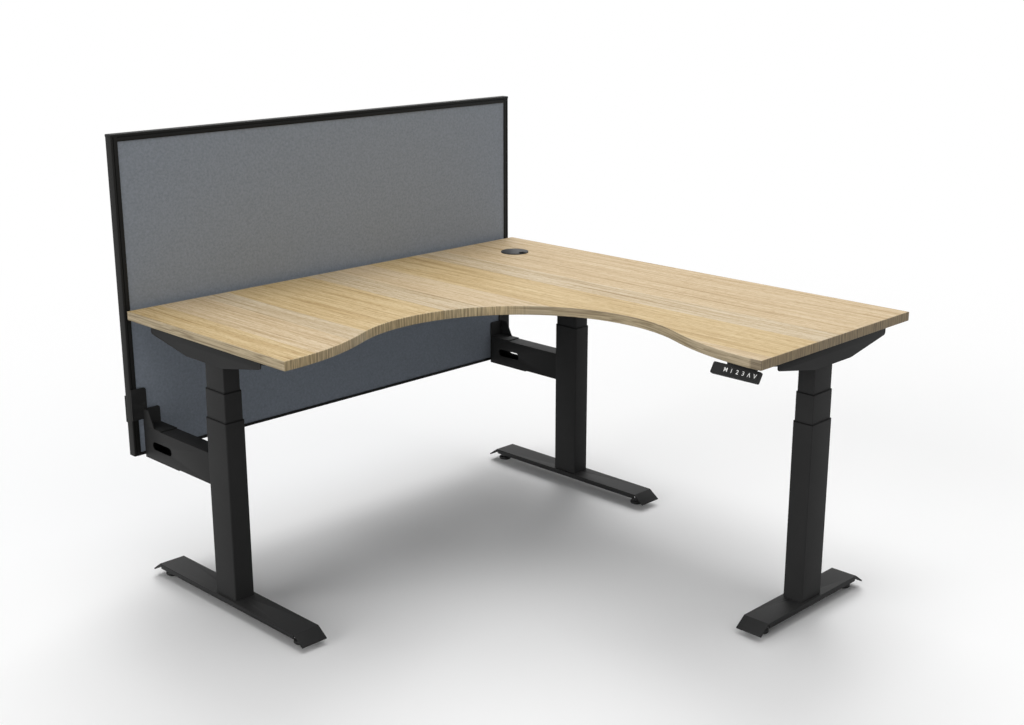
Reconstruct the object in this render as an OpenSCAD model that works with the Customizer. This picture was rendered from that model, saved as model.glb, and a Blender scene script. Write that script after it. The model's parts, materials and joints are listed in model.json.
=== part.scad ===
/* [Worktop] */
// Length of the back edge, along X
desk_w = 1500; // [1450:10:1700]
// Length of the right-hand edge, along Y
desk_l = 1530; // [1450:10:1700]
// Depth of the left wing at its end
left_depth = 716; // [690:1:740]
// Depth of the right wing at its end
right_depth = 692; // [680:1:720]
// Thickness of the board
board_t = 25; // [18:1:30]
// Thickness of the edge band
band_t = 2; // [1:0.5:3]
// Height of the top surface as shown
desk_h = 790; // [760:1:1000]
// Lowest height of the top surface
desk_low = 660; // [650:1:680]
// Highest height of the top surface
desk_high = 1300; // [1200:5:1310]
// Radius of the user bay
bay_r = 428; // [410:1:440]
// Radius of the left wing's front curve, as a share of the back edge
left_nose_share = 0.436; // [0.42:0.001:0.45]
// Radius of the right wing's front curve, as a share of the right-hand edge
right_nose_share = 0.4895; // [0.47:0.0005:0.51]

/* [Grommet] */
// Diameter of the cable port's flange
port_flange_d = 90; // [86:1:100]
// Diameter of the hole in the board
port_hole_d = 80; // [70:1:82]
// Wall of the port's sleeve
port_wall = 2; // [1:0.5:3]
// Height of the flange over the board
port_flange_h = 3; // [2:0.5:5]
// Centre of the port from the right-hand edge
port_in_x = 178; // [120:1:220]
// Centre of the port from the back edge
port_in_y = 189; // [120:1:220]
// Width of the notch that cables leave by
port_notch_w = 26; // [15:1:32]

/* [Screen] */
// Gap from the worktop's back edge to the screen
screen_gap = 18; // [14:1:30]
// Thickness of the screen's frame
screen_t = 29; // [26:1:40]
// Height of the screen's top edge over the floor
screen_top = 1270; // [1000:5:1500]
// Height of the screen's lower edge over the floor
screen_low = 362; // [345:1:400]
// Width of the frame's front face
frame_face = 20; // [16:0.5:24]
// Height of the lower rail's front face
sill_face = 8.5; // [7:0.5:14]
// Thickness of the screen's core board
core_t = 9; // [6:1:12]
// Thickness of each fabric-covered tile
tile_t = 7; // [4:0.5:8]

/* [Legs] */
// Width of the outer column, across the foot
column_w = 61; // [56:1:66]
// Length of the outer column, along the foot
column_l = 92; // [84:1:98]
// Wall of each column stage
column_wall = 1.5; // [1:0.1:1.8]
// Outer corner radius of the outer column
column_r = 4; // [3.8:0.1:6]
// Gap on each side between one stage and the next
stage_gap = 1; // [0.8:0.1:1.4]
// Height of the outer column's collar over the floor
column_top = 550; // [500:5:580]
// How much of the middle stage shows at the lowest height
low_show = 16; // [14:1:20]
// Distance of the end legs from the wing ends
leg_in = 62; // [56:1:75]
// Distance of the left leg from the back edge
left_leg_back = 354; // [348:1:370]
// Distance of the corner leg from the back edge
corner_leg_back = 342; // [336:1:360]
// Distance of the right leg from the right-hand edge
right_leg_back = 354; // [348:1:370]

/* [Feet] */
// Width of each foot
foot_w = 79; // [74:1:90]
// Height of the foot's upper face over the floor
foot_h = 44; // [40:1:50]
// Plate thickness of the foot
foot_t = 4; // [3:0.5:5]
// Height of the foot's side flange
foot_flange = 15; // [10:1:18]
// Length of the left and corner feet between their end folds
long_foot = 636; // [560:2:680]
// Length of the right foot between its end folds
short_foot = 424; // [360:2:500]
// How far each folded end runs out
lip_run = 35; // [25:1:45]
// How far each folded end drops
lip_drop = 25; // [18:1:26]
// Diameter of a levelling glide's pad
glide_d = 40; // [30:1:44]
// Diameter of a levelling glide's stem
stem_d = 10; // [8:1:12]
// Distance of a front glide from the fold
front_glide_in = 24; // [21:1:40]
// Distance of a rear glide from the fold
rear_glide_in = 2; // [2:1:40]

/* [Supports] */
// Distance of each support's end from the worktop's outer edge
support_start = 60; // [55:1:80]
// Length of each support
support_len = 508; // [480:1:520]
// Depth of a support at its ends
support_end_h = 35; // [30:1:40]
// Depth of a support at the column
support_h = 65; // [60:1:66]
// Length of the deepest stretch
support_flat = 168; // [160:1:180]
// Plate thickness of the supports
support_t = 3; // [2:0.5:4]
// Radius of the lower end corners
support_r = 9; // [4:1:14]

/* [Hidden] */

// Facets of a round part, and of one rounded corner
$fn = 48;
corner_steps = 4;
// Running clearance, clearance beside a still face, and the overrun of every cut
run_gap = 0.05;
free_gap = 0.3;
over = 1;

// Colours as the photograph shows them
oak = "#D3BD92";
oak_edge = "#9C8B6C";
black_steel = "#2B2B2B";
black_alu = "#1F1F1E";
black_plastic = "#232323";
grey_fabric = "#70767A";
zinc = "#B8B8B4";

// Bolts and screws: shank, head across and head height
bolt_d = 6;
bolt_head_d = 10.5;
bolt_head_h = 3.3;
foot_bolt_d = 8;
foot_bolt_head_d = 13;
foot_bolt_head_h = 5;
screw_d = 4.5;
screw_head_d = 9;
screw_head_h = 3;
screw_bite = 16;

// Heights of the board and of the fixed stages
board_low = desk_h - board_t;
rest_half = (desk_h - desk_low) / 2;
rise_half = (desk_high - desk_h) / 2;
collar_h = 3;
collar_skirt = 28;
middle_top = column_top + low_show + rest_half;
base_plate_t = 6;
stage_clear = 5;
middle_r = column_r - column_wall / 2;
inner_r = column_r - column_wall;
middle_w = column_w - 2 * column_wall - 2 * stage_gap;
middle_l = column_l - 2 * column_wall - 2 * stage_gap;
inner_w = middle_w - 2 * column_wall - 2 * stage_gap;
inner_l = middle_l - 2 * column_wall - 2 * stage_gap;
middle_low = foot_h + base_plate_t + rest_half + stage_clear;
nut_plate_t = 4;
inner_low = middle_low + nut_plate_t + rest_half + stage_clear;

// Lift drive: gearbox, motor, two nested spindles and the nuts that run on them
gearbox_h = 24;
gearbox_w = 42;
gearbox_tail = 12;
gearbox_drop = 22;
motor_d = 40;
motor_len = 90;
motor_cap = 8;
inner_top = board_low - support_t - gearbox_h;
lower_spindle_d = 12;
upper_spindle_d = 18;
spindle_gap = 0.4;
spindle_reach = 10;
carrier_d = 30;
carrier_wall = 3;
nut_h = 22;
carrier_top = inner_top - rest_half - 2 * nut_h;
upper_spindle_low = carrier_top - nut_h - rise_half - spindle_reach;
lower_spindle_top = middle_low + nut_h + rise_half + spindle_reach;

// Rails under the board
rail_w = 25;
rail_h = 36;
rail_wall = 2;
rail_plate = 66;
rail_plate_t = 3;
rail_pitch = 40;
rail_back = [110, 440];
rail_side = [165, 440];
column_screw_pitch = 48;
column_screw_len = 16;
support_half = inner_w / 2 + support_t;

// Feet: the fold's angle and the welded nut of each glide
lip_angle = atan2(lip_drop, lip_run);
nut_boss_d = 22;
nut_boss_h = 14;
glide_pad_h = 10;
glide_hub_d = 18;
glide_hub_h = 4;
glide_edge = 2;
foot_bolt_pitch = 52;

// Screen: the slot that holds the panel, and the cap over the posts
panel_t = core_t + 2 * tile_t;
panel_bite = 6;
cap_t = 7;
post_wall = 2;
post_edge = 3;
groove_w = 2.5;
groove_depth = 2.5;
groove_at = 6.5;
lip_t = (screen_t - panel_t) / 2 - free_gap;
panel_in = frame_face - panel_bite + free_gap;
sill_bite = sill_face / 2;
panel_low = screen_low + sill_face - sill_bite + free_gap;
panel_high = screen_top - frame_face + panel_bite - free_gap;

// Screen arms: box beams from the columns, brackets and clamp plates
arm_w = 54;
arm_top = 446;
arm_h = 89;
arm_wall = 2.5;
arm_slot_len = 96;
arm_slot_h = 24;
arm_slot_in = 41;
arm_slot_low = 29;
plate_t = 3;
tab_w = 48;
tab_top = 559;
tab_low = 468;
flange_top = 497;
flange_r = 8;
base_len = 83;
under_len = 167;
gusset_foot = 57;
gusset_head = 30;
gusset_h = flange_top - arm_top - plate_t;
gusset_r = 8;
gusset_head_r = 4;
clamp_t = 4;
clamp_low = 459;
clamp_high = 536;
clamp_bolt_low = 480;
clamp_bolt_pitch = 34;
arm_bolt_in = 25;
arm_bolt_pitch = 110;
arm_bolt_len = 8;
arm_in = leg_in - arm_w / 2;
post_bolt_in = 6;
panel_bolt_in = 40;

// Handset and its keys, and the control box
handset_len = 143;
handset_end = 3;
handset_face = 30.5;
handset_tilt = 32;
handset_t = 8;
handset_r = 4;
handset_front_in = 8;
handset_brow = 5;
handset_foot_len = 85;
handset_foot_at = 20;
handset_foot_in = 3;
handset_foot_t = 3;
handset_depth = 34;
handset_screw_in = 16;
handset_screw_back = 9;
key_w = 15;
key_h = 17;
key_r = 1.5;
key_t = 2.2;
key_proud = 0.6;
key_travel = 0.8;
key_floor_gap = 0.1;
key_pitch = 17.3;
key_first = 14;
key_up_face = 1;
key_count = 6;
control_len = 260;
control_w = 100;
control_h = 34;
control_ear = 14;
control_ear_t = 3;
control_in_x = 900;
control_in_y = 306;
socket_w = 14;
socket_h = 9;
socket_deep = 12;
socket_pitch = 30;
inlet_w = 28;
inlet_h = 20;

// Everything is drawn from the worktop's outer back corner, then moved so that
// the origin is on the floor under the middle of the whole object
back_y = screen_gap + screen_t + clamp_t + bolt_head_h;
module placed() {
    translate([desk_w / 2, (desk_l - back_y) / 2, 0]) children();
}

// Each leg's own frame: the column's axis at the origin, its foot along Y
module left_leg_place() {
    translate([leg_in - desk_w, -left_leg_back, 0]) children();
}
module corner_leg_place() {
    translate([-leg_in, -corner_leg_back, 0]) children();
}
module right_leg_place() {
    translate([-right_leg_back, leg_in - desk_l, 0]) mirror([1, -1, 0]) children();
}

// Outlines
function arc(c, r, from, to, steps) =
    [for (i = [0:steps]) c + r * [cos(from + (to - from) * i / steps), sin(from + (to - from) * i / steps)]];

function rounded(w, l, r) = concat(
    arc([w / 2 - r, l / 2 - r], r, 0, 90, corner_steps),
    arc([r - w / 2, l / 2 - r], r, 90, 180, corner_steps),
    arc([r - w / 2, r - l / 2], r, 180, 270, corner_steps),
    arc([w / 2 - r, r - l / 2], r, 270, 360, corner_steps));

// The bay is one arc that runs smoothly into the two wing fronts
left_nose_r = desk_w * left_nose_share;
right_nose_r = desk_l * right_nose_share;
left_nose = [-desk_w, left_nose_r - left_depth];
right_nose = [right_nose_r - right_depth, -desk_l];
nose_gap = norm(right_nose - left_nose);
nose_dir = (right_nose - left_nose) / nose_gap;
to_left = bay_r + left_nose_r;
to_right = bay_r + right_nose_r;
along = (to_left * to_left - to_right * to_right + nose_gap * nose_gap) / (2 * nose_gap);
across = sqrt(to_left * to_left - along * along);
bay = left_nose + nose_dir * along + [nose_dir[1], -nose_dir[0]] * across;
left_turn = atan2(bay[1] - left_nose[1], bay[0] - left_nose[0]);
right_turn = atan2(bay[1] - right_nose[1], bay[0] - right_nose[0]);
nose_steps = 12;
bay_steps = 32;

function worktop_outline(inset) = concat(
    [[-inset, -inset], [inset - desk_w, -inset]],
    arc(left_nose, left_nose_r - inset, -acos(inset / (left_nose_r - inset)), left_turn, nose_steps),
    arc(bay, bay_r + inset, left_turn + 180, right_turn - 180, bay_steps),
    arc(right_nose, right_nose_r - inset, right_turn,
        180 - asin(inset / (right_nose_r - inset)), nose_steps),
    [[-inset, inset - desk_l]]);

// A box beam standing on Z with rounded corners
module tube(w, l, wall, r, low, high) {
    translate([0, 0, low]) linear_extrude(high - low) difference() {
        polygon(rounded(w, l, r));
        polygon(rounded(w - 2 * wall, l - 2 * wall, r - wall));
    }
}

// A screw or bolt along +Z whose head's seat is at the origin
module fastener(d, len, head_d, head_h) {
    cylinder(d = d, h = len);
    translate([0, 0, -head_h]) cylinder(d1 = head_d * 3 / 4, d2 = head_d, h = head_h / 2);
    translate([0, 0, -head_h / 2]) cylinder(d = head_d, h = head_h / 2);
}

// Places of the screws that hold the supports, the control box and the handset
support_screws = [90, 180, 430, 540];
module support_screw_places() {
    for (back = support_screws) {
        translate([leg_in - desk_w, -back, board_low - support_t]) children();
        translate([-leg_in, -back, board_low - support_t]) children();
        translate([-back, leg_in - desk_l, board_low - support_t]) children();
    }
}
module control_screw_places() {
    for (sx = [-1, 1], sy = [-1, 1])
        translate([sx * (control_len + control_ear) / 2 - control_in_x,
                   sy * control_w / 4 - control_in_y, board_low - control_ear_t]) children();
}
module handset_screw_places() {
    for (y = [handset_screw_in, handset_foot_len - handset_screw_in])
        translate([handset_x + handset_depth - handset_screw_back, handset_y + handset_foot_at + y,
                   board_low - handset_foot_t]) children();
}

// Worktop
module worktop() {
    color(oak) placed() difference() {
        translate([0, 0, board_low]) linear_extrude(board_t) polygon(worktop_outline(band_t));
        translate([-port_in_x, -port_in_y, board_low - over])
            cylinder(d = port_hole_d, h = board_t + 2 * over);
        support_screw_places() cylinder(d = screw_d + 2 * run_gap, h = support_t + screw_bite + over);
        control_screw_places() cylinder(d = screw_d + 2 * run_gap, h = control_ear_t + screw_bite + over);
        handset_screw_places() cylinder(d = screw_d + 2 * run_gap, h = handset_foot_t + screw_bite + over);
    }
}

module edge_band() {
    color(oak_edge) placed() translate([0, 0, board_low]) linear_extrude(board_t) difference() {
        polygon(worktop_outline(0));
        polygon(worktop_outline(band_t));
    }
}

// Cable port: a flanged liner in the board and a cap that turns in it
port_bore = port_hole_d - 2 * run_gap - 2 * port_wall;
port_depth = 20;
cap_rim = 3;
cap_seat_d = port_flange_d - 2 * cap_rim;
cap_floor = 1.2;
cap_plate_t = port_flange_h - cap_floor;
cap_skirt_h = 8;
cap_skirt_t = 1.8;
notch_reach = port_flange_d / 2 - port_notch_w / 3;

module grommet_liner() {
    color(black_plastic) placed() translate([-port_in_x, -port_in_y, desk_h]) difference() {
        union() {
            cylinder(d = port_flange_d, h = port_flange_h);
            translate([0, 0, -port_depth])
                cylinder(d = port_hole_d - 2 * run_gap, h = port_depth + over);
        }
        translate([0, 0, -port_depth - over])
            cylinder(d = port_bore, h = port_depth + port_flange_h + 2 * over);
        translate([0, 0, port_flange_h - cap_plate_t])
            cylinder(d = cap_seat_d, h = cap_plate_t + over);
    }
}

module grommet_cap() {
    color(black_plastic) placed() translate([-port_in_x, -port_in_y, desk_h]) difference() {
        union() {
            translate([0, 0, port_flange_h - cap_plate_t + run_gap])
                cylinder(d = cap_seat_d - 2 * free_gap, h = cap_plate_t - run_gap);
            translate([0, 0, port_flange_h - cap_plate_t - cap_skirt_h])
                difference() {
                    cylinder(d = port_bore - 2 * run_gap, h = cap_skirt_h + cap_plate_t / 2);
                    translate([0, 0, -over])
                        cylinder(d = port_bore - 2 * cap_skirt_t, h = cap_skirt_h + over + run_gap);
                }
        }
        translate([0, -port_flange_d / 2, 0]) {
            translate([-port_notch_w / 2, -over, -port_depth])
                cube([port_notch_w, port_flange_d / 2 - notch_reach + over, 2 * port_depth]);
            translate([0, port_flange_d / 2 - notch_reach, -port_depth])
                cylinder(d = port_notch_w, h = 2 * port_depth);
        }
    }
}

// Supports: folded channels over the columns, deep at the column and tapered to
// their ends, which the worktop is screwed to
support_taper = (support_len - support_flat) / 2;
support_slope = atan2(support_h - support_end_h, support_taper);
function support_side() = concat(
    [[0, 0]],
    arc([support_r, support_r - support_end_h], support_r, 180, 270 - support_slope, corner_steps),
    [[support_taper, -support_h], [support_taper + support_flat, -support_h]],
    arc([support_len - support_r, support_r - support_end_h], support_r,
        270 + support_slope, 360, corner_steps),
    [[support_len, 0]]);

module support_web() {
    rotate([90, 0, -90]) translate([0, 0, -support_t / 2])
        linear_extrude(support_t) polygon(support_side());
}

// Drawn in a leg's frame, where back is the leg's distance from the outer edge
module support(back) {
    translate([0, back - support_start, board_low]) {
        for (side = [-1, 1])
            translate([side * (support_half - support_t / 2), 0, 0]) support_web();
        translate([-support_half, -support_len, -support_t])
            cube([2 * support_half, support_len, support_t]);
    }
}

module support_cuts() {
    rail_bolt_holes();
    column_screw_holes();
    support_screw_places() translate([0, 0, -over])
        cylinder(d = screw_d + 2 * run_gap, h = support_t + 2 * over);
}

module left_support() {
    color(black_steel) placed() difference() {
        left_leg_place() support(left_leg_back);
        support_cuts();
    }
}
module corner_support() {
    color(black_steel) placed() difference() {
        corner_leg_place() support(corner_leg_back);
        support_cuts();
    }
}
module right_support() {
    color(black_steel) placed() difference() {
        right_leg_place() support(right_leg_back);
        support_cuts();
    }
}

// Rails: each is [start x, start y, direction, length], from face to face
rail_x0 = leg_in - desk_w + support_half;
rail_x_len = desk_w - 2 * leg_in - 2 * support_half;
rail_y0 = -rail_back[1] - rail_w / 2;
rail_y_len = desk_l - leg_in - support_half + rail_y0;
rails = [
    [rail_x0, -rail_back[0], 0, rail_x_len],
    [rail_x0, -rail_back[1], 0, rail_x_len],
    [-rail_side[0], rail_y0, -90, rail_y_len],
    [-rail_side[1], rail_y0, -90, rail_y_len]
];

module rail(len) {
    translate([0, 0, board_low - rail_h / 2]) {
        rotate([90, 0, 90]) linear_extrude(len) difference() {
            square([rail_w, rail_h], center = true);
            square([rail_w - 2 * rail_wall, rail_h - 2 * rail_wall], center = true);
        }
        for (x = [0, len - rail_plate_t])
            translate([x, -rail_plate / 2, -rail_h / 2]) cube([rail_plate_t, rail_plate, rail_h]);
    }
}

module rail_pair(first) {
    difference() {
        for (i = [first, first + 1])
            translate([rails[i][0], rails[i][1], 0]) rotate(rails[i][2]) rail(rails[i][3]);
        rail_bolt_holes();
    }
}
module left_rails() {
    color(black_steel) placed() rail_pair(0);
}
module right_rails() {
    color(black_steel) placed() rail_pair(2);
}

// Bolts through the rails' end plates, each along +Z in its own frame
rail_bolt_drop = rail_h / 2;
module rail_bolt_places() {
    for (r = rails, side = [-1, 1])
        translate([r[0], r[1], 0]) rotate(r[2]) {
            translate([rail_plate_t, side * rail_pitch / 2, board_low - rail_bolt_drop])
                rotate([0, -90, 0]) children();
            translate([r[3] - rail_plate_t, side * rail_pitch / 2, board_low - rail_bolt_drop])
                rotate([0, 90, 0]) children();
        }
}

module rail_bolt_holes() {
    rail_bolt_places() translate([0, 0, -over])
        cylinder(d = bolt_d + 2 * run_gap, h = rail_plate_t + support_t + 3 * over);
}

// Countersunk screws from each support down into its gearbox
module column_screw_places() {
    three_legs() for (side = [-1, 1])
        translate([0, side * column_screw_pitch / 2, board_low]) rotate([180, 0, 0]) children();
}
module column_screw(gap) {
    cylinder(d = bolt_d + 2 * gap, h = column_screw_len + gap);
    cylinder(d1 = 2 * bolt_d + 2 * gap, d2 = bolt_d + 2 * gap, h = support_t);
}
module column_screw_holes() {
    column_screw_places() {
        column_screw(run_gap);
        translate([0, 0, -over]) cylinder(d = 2 * bolt_d + 2 * run_gap, h = over);
    }
}

module frame_bolts() {
    color(zinc) placed() {
        rail_bolt_places()
            fastener(bolt_d, rail_plate_t + support_t + over, bolt_head_d, bolt_head_h);
        column_screw_places() column_screw(0);
    }
}

module worktop_screws() {
    color(zinc) placed() {
        support_screw_places() fastener(screw_d, support_t + screw_bite, screw_head_d, screw_head_h);
        control_screw_places() fastener(screw_d, control_ear_t + screw_bite, screw_head_d, screw_head_h);
        handset_screw_places() fastener(screw_d, handset_foot_t + screw_bite, screw_head_d, screw_head_h);
    }
}

// Lift drives
module three_legs() {
    left_leg_place() children();
    corner_leg_place() children();
    right_leg_place() children();
}
module base_legs() {
    left_leg_place() children();
    corner_leg_place() children();
}

module gearboxes() {
    color(zinc) placed() difference() {
        three_legs() {
            translate([-gearbox_w / 2, -inner_l / 2, inner_top])
                cube([gearbox_w, inner_l + gearbox_tail, gearbox_h]);
            translate([-gearbox_w / 2, inner_l / 2 + free_gap, inner_top - gearbox_drop])
                cube([gearbox_w, gearbox_tail - free_gap, gearbox_h + gearbox_drop]);
        }
        column_screw_holes();
    }
}

motor_z = inner_top + gearbox_h - over - motor_d / 2;
module lift_motors() {
    color(black_steel) placed() three_legs()
        translate([0, inner_l / 2 + gearbox_tail, motor_z]) rotate([-90, 0, 0]) {
            cylinder(d = motor_d, h = motor_len - motor_cap);
            translate([0, 0, motor_len - motor_cap])
                cylinder(d1 = motor_d, d2 = motor_d - motor_cap, h = motor_cap);
        }
}

module upper_spindle() {
    translate([0, 0, upper_spindle_low]) difference() {
        cylinder(d = upper_spindle_d, h = inner_top - upper_spindle_low);
        translate([0, 0, -over])
            cylinder(d = lower_spindle_d + 2 * spindle_gap, h = inner_top - upper_spindle_low + 2 * over);
    }
}
module upper_spindles() {
    color(zinc) placed() three_legs() upper_spindle();
}

module lower_spindle() {
    translate([0, 0, foot_h + base_plate_t])
        cylinder(d = lower_spindle_d, h = lower_spindle_top - foot_h - base_plate_t);
}
module lower_spindles() {
    color(zinc) placed() base_legs() lower_spindle();
}
module right_lower_spindle() {
    color(zinc) placed() right_leg_place() lower_spindle();
}

// Column stages: each slides in the one below on a plastic collar
module inner_tube() {
    tube(inner_w, inner_l, column_wall, inner_r, inner_low, inner_top);
}
module left_inner_tube() {
    color(black_steel) placed() left_leg_place() inner_tube();
}
module corner_inner_tube() {
    color(black_steel) placed() corner_leg_place() inner_tube();
}
module right_inner_tube() {
    color(black_steel) placed() right_leg_place() inner_tube();
}

// The middle stage carries both nuts on a tube that stands in its middle
module middle_tube() {
    difference() {
        union() {
            tube(middle_w, middle_l, column_wall, middle_r, middle_low, middle_top - collar_h);
            translate([0, 0, middle_low]) linear_extrude(nut_plate_t)
                polygon(rounded(middle_w, middle_l, middle_r));
            translate([0, 0, middle_low]) cylinder(d = carrier_d, h = carrier_top - middle_low);
        }
        translate([0, 0, middle_low + nut_h])
            cylinder(d = carrier_d - 2 * carrier_wall, h = carrier_top - middle_low - 2 * nut_h);
        translate([0, 0, middle_low - over])
            cylinder(d = lower_spindle_d + 2 * run_gap, h = nut_h + 2 * over);
        translate([0, 0, carrier_top - nut_h - over])
            cylinder(d = upper_spindle_d + 2 * run_gap, h = nut_h + 2 * over);
    }
}
module left_middle_tube() {
    color(black_steel) placed() left_leg_place() middle_tube();
}
module corner_middle_tube() {
    color(black_steel) placed() corner_leg_place() middle_tube();
}
module right_middle_tube() {
    color(black_steel) placed() right_leg_place() middle_tube();
}

module outer_tube() {
    tube(column_w, column_l, column_wall, column_r, foot_h, column_top - collar_h);
    difference() {
        translate([0, 0, foot_h]) linear_extrude(base_plate_t)
            polygon(rounded(column_w, column_l, column_r));
        foot_bolt_places() cylinder(d = foot_bolt_d + 2 * run_gap, h = foot_h);
    }
}
module left_outer_tube() {
    color(black_steel) placed() left_leg_place() outer_tube();
}
module corner_outer_tube() {
    color(black_steel) placed() corner_leg_place() outer_tube();
}
module right_outer_tube() {
    color(black_steel) placed() right_leg_place() outer_tube();
}

// A collar's rim covers the edge of its tube, and its skirt lines the tube
module collar(w, l, r, top) {
    hole_w = w - 2 * column_wall - 2 * stage_gap + 2 * run_gap;
    hole_l = l - 2 * column_wall - 2 * stage_gap + 2 * run_gap;
    skirt_w = w - 2 * column_wall - 2 * run_gap;
    skirt_l = l - 2 * column_wall - 2 * run_gap;
    difference() {
        union() {
            translate([0, 0, top - collar_h]) linear_extrude(collar_h) polygon(rounded(w, l, r));
            translate([0, 0, top - collar_h - collar_skirt]) linear_extrude(collar_skirt + collar_h / 2)
                polygon(rounded(skirt_w, skirt_l, r - column_wall));
        }
        translate([0, 0, top - collar_h - collar_skirt - over])
            linear_extrude(collar_h + collar_skirt + 2 * over)
            polygon(rounded(hole_w, hole_l, r - column_wall));
    }
}
module middle_collar() {
    collar(middle_w, middle_l, middle_r, middle_top);
}
module outer_collar() {
    collar(column_w, column_l, column_r, column_top);
}
module left_middle_collar() {
    color(black_plastic) placed() left_leg_place() middle_collar();
}
module corner_middle_collar() {
    color(black_plastic) placed() corner_leg_place() middle_collar();
}
module right_middle_collar() {
    color(black_plastic) placed() right_leg_place() middle_collar();
}
module outer_collars() {
    color(black_plastic) placed() base_legs() outer_collar();
}
module right_outer_collar() {
    color(black_plastic) placed() right_leg_place() outer_collar();
}

// Feet: a shallow channel whose ends fold down, with a welded nut for each glide
module foot_bolt_places() {
    for (side = [-1, 1]) translate([0, side * foot_bolt_pitch / 2, foot_h - foot_t]) children();
}

function foot_profile(len) = [
    [-len / 2 - lip_run, foot_h - lip_drop],
    [-len / 2, foot_h],
    [len / 2, foot_h],
    [len / 2 + lip_run, foot_h - lip_drop],
    [len / 2 + lip_run - foot_t * sin(lip_angle), foot_h - lip_drop - foot_t * cos(lip_angle)],
    [len / 2 - foot_t * tan(lip_angle / 2), foot_h - foot_t],
    [foot_t * tan(lip_angle / 2) - len / 2, foot_h - foot_t],
    [foot_t * sin(lip_angle) - len / 2 - lip_run, foot_h - lip_drop - foot_t * cos(lip_angle)]
];

// What lies under the middle of the plate, where a welded nut may reach
function foot_under(len) = [
    [-len / 2 - lip_run, 0],
    [-len / 2 - lip_run, foot_h - lip_drop - foot_t / 2],
    [-len / 2, foot_h - foot_t / 2],
    [len / 2, foot_h - foot_t / 2],
    [len / 2 + lip_run, foot_h - lip_drop - foot_t / 2],
    [len / 2 + lip_run, 0]
];
function glide_at(len, side) = side * (len / 2 - (side > 0 ? rear_glide_in : front_glide_in));

module across_foot(outline) {
    rotate([90, 0, 90]) translate([0, 0, -foot_w / 2]) linear_extrude(foot_w) polygon(outline);
}
module foot(len) {
    difference() {
        union() {
            across_foot(foot_profile(len));
            for (side = [-1, 1])
                translate([side * (foot_w - foot_t) / 2 - foot_t / 2, foot_t - len / 2, foot_h - foot_flange])
                    cube([foot_t, len - 2 * foot_t, foot_flange]);
            intersection() {
                across_foot(foot_under(len));
                for (side = [-1, 1])
                    translate([0, glide_at(len, side), foot_h - foot_t / 2 - nut_boss_h])
                        cylinder(d = nut_boss_d, h = nut_boss_h);
            }
        }
        for (side = [-1, 1])
            translate([0, glide_at(len, side), 0])
                cylinder(d = stem_d + 2 * run_gap, h = foot_h - foot_t);
        foot_bolt_places() translate([0, 0, -over])
            cylinder(d = foot_bolt_d + 2 * run_gap, h = foot_t + 2 * over);
    }
}
module left_foot() {
    color(black_steel) placed() left_leg_place() foot(long_foot);
}
module corner_foot() {
    color(black_steel) placed() corner_leg_place() foot(long_foot);
}
module right_foot() {
    color(black_steel) placed() right_leg_place() foot(short_foot);
}

// A levelling glide stands on its pad, and its stem is in the foot's nut
module glide(len, side) {
    translate([0, glide_at(len, side), 0]) rotate_extrude() polygon([
        [0, 0],
        [glide_d / 2 - glide_edge, 0],
        [glide_d / 2, glide_edge],
        [glide_d / 2, glide_pad_h - glide_edge],
        [glide_d / 2 - glide_edge, glide_pad_h],
        [glide_hub_d / 2, glide_pad_h],
        [glide_hub_d / 2, glide_pad_h + glide_hub_h],
        [stem_d / 2, glide_pad_h + glide_hub_h],
        [stem_d / 2, foot_h - foot_t - free_gap],
        [0, foot_h - foot_t - free_gap]
    ]);
}
module left_front_glide() {
    color(black_plastic) placed() left_leg_place() glide(long_foot, -1);
}
module left_rear_glide() {
    color(black_plastic) placed() left_leg_place() glide(long_foot, 1);
}
module corner_front_glide() {
    color(black_plastic) placed() corner_leg_place() glide(long_foot, -1);
}
module corner_rear_glide() {
    color(black_plastic) placed() corner_leg_place() glide(long_foot, 1);
}
module right_front_glide() {
    color(black_plastic) placed() right_leg_place() glide(short_foot, -1);
}
module right_rear_glide() {
    color(black_plastic) placed() right_leg_place() glide(short_foot, 1);
}

// Screen frame: grooved posts, a top rail that caps them and a low sill.
// Each is drawn from the screen's front face at the left end, then placed.
module screen_place() {
    translate([-desk_w, screen_gap, 0]) children();
}
module other_end() {
    translate([desk_w, 0, 0]) mirror([1, 0, 0]) children();
}

function post_outline() = concat(
    arc([post_edge, screen_t - post_edge], post_edge, 90, 180, corner_steps),
    arc([post_edge, post_edge], post_edge, 180, 270, corner_steps),
    [[groove_at, 0], [groove_at, groove_depth], [groove_at + groove_w, groove_depth],
     [groove_at + groove_w, 0], [frame_face, 0], [frame_face, lip_t],
     [frame_face - panel_bite, lip_t], [frame_face - panel_bite, screen_t - lip_t],
     [frame_face, screen_t - lip_t], [frame_face, screen_t],
     [groove_at + groove_w, screen_t], [groove_at + groove_w, screen_t - groove_depth],
     [groove_at, screen_t - groove_depth], [groove_at, screen_t]]);

module post() {
    difference() {
        translate([0, 0, screen_low]) linear_extrude(screen_top - cap_t - screen_low) difference() {
            polygon(post_outline());
            translate([post_wall, 2 * post_wall])
                square([frame_face - panel_bite - 2 * post_wall, screen_t - 4 * post_wall]);
        }
        screen_bolt_holes();
    }
}
module left_post() {
    color(black_alu) placed() screen_place() post();
}
module right_post() {
    color(black_alu) placed() screen_place() other_end() post();
}

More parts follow.
